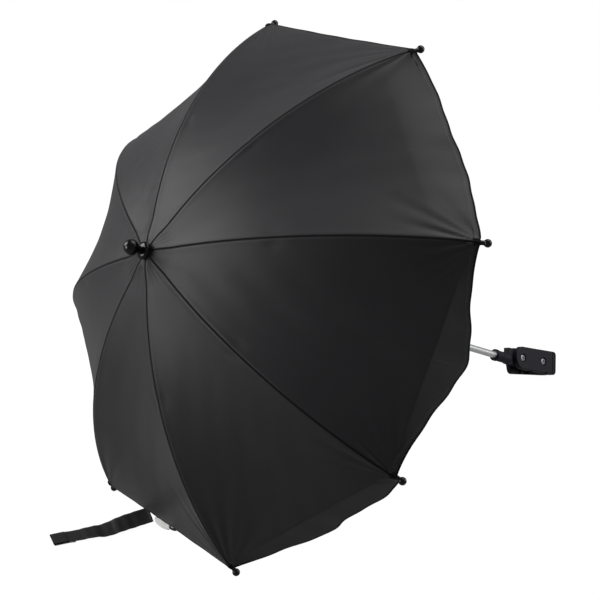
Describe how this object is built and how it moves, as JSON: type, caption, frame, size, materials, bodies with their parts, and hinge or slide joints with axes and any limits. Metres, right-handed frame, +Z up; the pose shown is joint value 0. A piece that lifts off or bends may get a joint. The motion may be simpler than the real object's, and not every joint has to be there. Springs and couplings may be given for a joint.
{
  "type": "pram parasol",
  "caption": "Round folding sunshade for a pram: domed cloth canopy on hinged ribs and stretchers, straight metal shaft, runner with spring catch and a tilting two-bolt tube clamp.",
  "frame": {"origin": "middle of the floor area that the open parasol covers as it lies on two rib tips and its clamp", "axes": "+Z up from that floor, +X level along the shaft from the canopy towards the clamp, -Y towards the clamp's front jaw"},
  "size_m": [0.8476, 0.6392, 0.5748],
  "materials": {
    "canopy_cloth": "black woven polyester, satin",
    "strap_webbing": "black folded polyester",
    "tag_satin": "blank white satin ribbon",
    "gloss_black": "moulded, glossy",
    "frame_plastic": "moulded, fine grain",
    "clamp_plastic": "moulded, fine grain",
    "shaft_chrome": "chromed tube",
    "rib_steel": "zinc-plated channel",
    "steel": "plain wire",
    "bolt_zinc": "zinc-plated",
    "pad_rubber": "moulded rubber"
  },
  "bodies": {
    "clamp": {"rear_jaw": "clamp_plastic", "rear_pad": "pad_rubber", "jaw_nuts": "bolt_zinc"},
    "front_jaw": {"front_jaw": "clamp_plastic", "front_pad": "pad_rubber", "pivot_bolt": "bolt_zinc", "clamp_bolt": "bolt_zinc"},
    "shaft": {"socket_arm": "clamp_plastic", "socket_pin": "steel", "shaft_tube": "shaft_chrome", "stop_pin": "steel", "crown": "frame_plastic", "crown_wire": "steel", "finial": "gloss_black"},
    "catch": {"catch_spring": "steel"},
    "runner": {"runner": "frame_plastic", "runner_wire": "steel"},
    "rib_1": {"rib_1": "rib_steel", "rib_tip_1": "gloss_black", "rib_rivet_1": "steel", "canopy_panel_1": "canopy_cloth"},
    "stretcher_1": {"stretcher_1": "rib_steel"},
    "rib_2": {"rib_2": "rib_steel", "rib_tip_2": "gloss_black", "rib_rivet_2": "steel", "canopy_panel_2": "canopy_cloth"},
    "stretcher_2": {"stretcher_2": "rib_steel"},
    "rib_3": {"rib_3": "rib_steel", "rib_tip_3": "gloss_black", "rib_rivet_3": "steel", "canopy_panel_3": "canopy_cloth"},
    "stretcher_3": {"stretcher_3": "rib_steel"},
    "rib_4": {"rib_4": "rib_steel", "rib_tip_4": "gloss_black", "rib_rivet_4": "steel", "canopy_panel_4": "canopy_cloth", "closing_strap": "strap_webbing", "care_tag": "tag_satin"},
    "stretcher_4": {"stretcher_4": "rib_steel"},
    "rib_5": {"rib_5": "rib_steel", "rib_tip_5": "gloss_black", "rib_rivet_5": "steel", "canopy_panel_5": "canopy_cloth"},
    "stretcher_5": {"stretcher_5": "rib_steel"},
    "rib_6": {"rib_6": "rib_steel", "rib_tip_6": "gloss_black", "rib_rivet_6": "steel", "canopy_panel_6": "canopy_cloth"},
    "stretcher_6": {"stretcher_6": "rib_steel"},
    "rib_7": {"rib_7": "rib_steel", "rib_tip_7": "gloss_black", "rib_rivet_7": "steel", "canopy_panel_7": "canopy_cloth"},
    "stretcher_7": {"stretcher_7": "rib_steel"},
    "rib_8": {"rib_8": "rib_steel", "rib_tip_8": "gloss_black", "rib_rivet_8": "steel", "canopy_panel_8": "canopy_cloth"},
    "stretcher_8": {"stretcher_8": "rib_steel"}
  },
  "joints": [
    {"name": "clamp_tilt", "type": "hinge", "parent": "clamp", "child": "shaft", "pos_m": [0.33631, 0.00171, 0.05055], "axis": [-0.1506, 0.9397, -0.3071], "range_deg": [-85, 70]},
    {"name": "jaw_slide", "type": "slide", "parent": "clamp", "child": "front_jaw", "axis": [0.1506, -0.9397, 0.3071], "range_m": [0, 0.004]},
    {"name": "catch_press", "type": "hinge", "parent": "shaft", "child": "catch", "pos_m": [-0.1719, 0, 0.29766], "axis": [0, -1, 0], "range_deg": [0, 6], "stiffness_Nm_per_rad": 0.4},
    {"name": "canopy_fold", "type": "hinge", "parent": "shaft", "child": "rib_1", "pos_m": [-0.3018, 0.00383, 0.36868], "axis": [-0.1686, 0.9239, -0.3436], "range_deg": [0, 57], "deforming": ["canopy_panel_1", "canopy_panel_2", "canopy_panel_3", "canopy_panel_4", "canopy_panel_5", "canopy_panel_6", "canopy_panel_7", "canopy_panel_8", "closing_strap", "care_tag", "catch_spring"]},
    {"name": "stretcher_1_swing", "type": "hinge", "parent": "rib_1", "child": "stretcher_1", "pos_m": [-0.20518, 0.06266, 0.47947], "axis": [-0.1686, 0.9239, -0.3436], "range_deg": [-114, 0]},
    {"name": "rib_2_fold", "type": "hinge", "parent": "shaft", "child": "rib_2", "pos_m": [-0.30419, 0.00924, 0.36382], "axis": [-0.4069, 0.3827, -0.8294], "range_deg": [0, 57]},
    {"name": "stretcher_2_swing", "type": "hinge", "parent": "rib_2", "child": "stretcher_2", "pos_m": [-0.24421, 0.15127, 0.39992], "axis": [-0.4069, 0.3827, -0.8294], "range_deg": [-114, 0]},
    {"name": "rib_3_fold", "type": "hinge", "parent": "shaft", "child": "rib_3", "pos_m": [-0.30756, 0.00924, 0.35695], "axis": [-0.4069, -0.3827, -0.8294], "range_deg": [0, 57]},
    {"name": "stretcher_3_swing", "type": "hinge", "parent": "rib_3", "child": "stretcher_3", "pos_m": [-0.2994, 0.15127, 0.28742], "axis": [-0.4069, -0.3827, -0.8294], "range_deg": [-114, 0]},
    {"name": "rib_4_fold", "type": "hinge", "parent": "shaft", "child": "rib_4", "pos_m": [-0.30994, 0.00383, 0.35209], "axis": [-0.1686, -0.9239, -0.3436], "range_deg": [0, 57]},
    {"name": "stretcher_4_swing", "type": "hinge", "parent": "rib_4", "child": "stretcher_4", "pos_m": [-0.33843, 0.06266, 0.20787], "axis": [-0.1686, -0.9239, -0.3436], "range_deg": [-114, 0]},
    {"name": "rib_5_fold", "type": "hinge", "parent": "shaft", "child": "rib_5", "pos_m": [-0.30994, -0.00383, 0.35209], "axis": [0.1686, -0.9239, 0.3436], "range_deg": [0, 57]},
    {"name": "stretcher_5_swing", "type": "hinge", "parent": "rib_5", "child": "stretcher_5", "pos_m": [-0.33843, -0.06266, 0.20787], "axis": [0.1686, -0.9239, 0.3436], "range_deg": [-114, 0]},
    {"name": "rib_6_fold", "type": "hinge", "parent": "shaft", "child": "rib_6", "pos_m": [-0.30756, -0.00924, 0.35695], "axis": [0.4069, -0.3827, 0.8294], "range_deg": [0, 57]},
    {"name": "stretcher_6_swing", "type": "hinge", "parent": "rib_6", "child": "stretcher_6", "pos_m": [-0.2994, -0.15127, 0.28742], "axis": [0.4069, -0.3827, 0.8294], "range_deg": [-114, 0]},
    {"name": "rib_7_fold", "type": "hinge", "parent": "shaft", "child": "rib_7", "pos_m": [-0.30419, -0.00924, 0.36382], "axis": [0.4069, 0.3827, 0.8294], "range_deg": [0, 57]},
    {"name": "stretcher_7_swing", "type": "hinge", "parent": "rib_7", "child": "stretcher_7", "pos_m": [-0.24421, -0.15127, 0.39992], "axis": [0.4069, 0.3827, 0.8294], "range_deg": [-114, 0]},
    {"name": "rib_8_fold", "type": "hinge", "parent": "shaft", "child": "rib_8", "pos_m": [-0.3018, -0.00383, 0.36868], "axis": [0.1686, 0.9239, 0.3436], "range_deg": [0, 57]},
    {"name": "stretcher_8_swing", "type": "hinge", "parent": "rib_8", "child": "stretcher_8", "pos_m": [-0.20518, -0.06266, 0.47947], "axis": [0.1686, 0.9239, 0.3436], "range_deg": [-114, 0]},
    {"name": "runner_travel", "type": "hinge", "parent": "stretcher_1", "child": "runner", "pos_m": [-0.23366, 0.00383, 0.33525], "axis": [-0.1686, 0.9239, -0.3436], "range_deg": [0, 57]}
  ],
  "couplings": [
    {"joint": "stretcher_1_swing", "follows": "canopy_fold", "ratio": -2},
    {"joint": "rib_2_fold", "follows": "canopy_fold", "ratio": 1},
    {"joint": "stretcher_2_swing", "follows": "canopy_fold", "ratio": -2},
    {"joint": "rib_3_fold", "follows": "canopy_fold", "ratio": 1},
    {"joint": "stretcher_3_swing", "follows": "canopy_fold", "ratio": -2},
    {"joint": "rib_4_fold", "follows": "canopy_fold", "ratio": 1},
    {"joint": "stretcher_4_swing", "follows": "canopy_fold", "ratio": -2},
    {"joint": "rib_5_fold", "follows": "canopy_fold", "ratio": 1},
    {"joint": "stretcher_5_swing", "follows": "canopy_fold", "ratio": -2},
    {"joint": "rib_6_fold", "follows": "canopy_fold", "ratio": 1},
    {"joint": "stretcher_6_swing", "follows": "canopy_fold", "ratio": -2},
    {"joint": "rib_7_fold", "follows": "canopy_fold", "ratio": 1},
    {"joint": "stretcher_7_swing", "follows": "canopy_fold", "ratio": -2},
    {"joint": "rib_8_fold", "follows": "canopy_fold", "ratio": 1},
    {"joint": "stretcher_8_swing", "follows": "canopy_fold", "ratio": -2},
    {"joint": "runner_travel", "follows": "canopy_fold", "ratio": 1}
  ]
}
